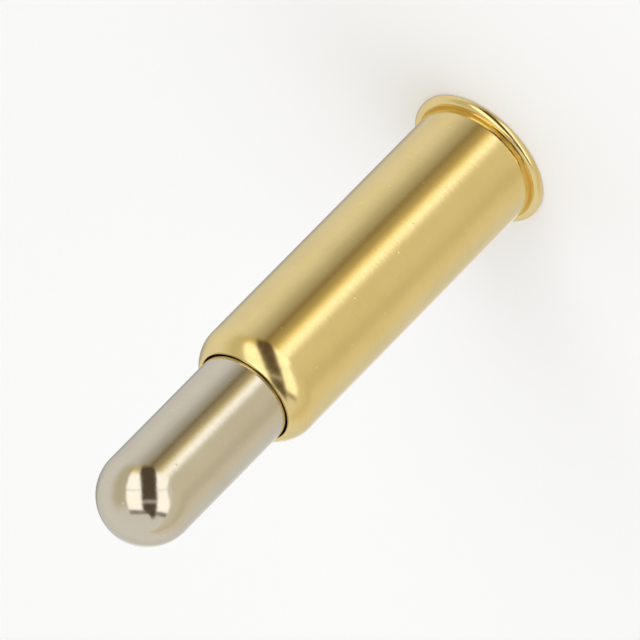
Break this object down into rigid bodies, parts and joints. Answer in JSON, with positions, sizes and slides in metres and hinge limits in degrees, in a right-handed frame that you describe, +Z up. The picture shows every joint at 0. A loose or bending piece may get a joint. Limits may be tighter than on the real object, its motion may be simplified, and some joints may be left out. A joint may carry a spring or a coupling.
{
  "type": "pogo pin",
  "caption": "Surface-mount spring contact pin: gold-plated barrel with a thin foot flange and rolled-in nose, pale round-tipped plunger sliding on a coil spring inside.",
  "frame": {"origin": "centre of the flange's flat underside, which is soldered to the board", "axes": "+Z up the pin's axis, from the flange to the plunger's round tip; X and Y are free, since the outside is round"},
  "size_m": [0.0024, 0.0024, 0.0089],
  "materials": {
    "gold_plating": "polished",
    "nickel_plating": "polished",
    "spring_wire": "satin"
  },
  "bodies": {
    "barrel": {"barrel": "gold_plating", "spring": "spring_wire"},
    "plunger": {"plunger": "nickel_plating"}
  },
  "joints": [
    {"name": "plunger_travel", "type": "slide", "parent": "barrel", "child": "plunger", "axis": [0, 0, -1], "range_m": [0, 0.002], "stiffness_N_per_m": 480, "springref_m": -0.0005, "deforming": ["spring"]}
  ]
}
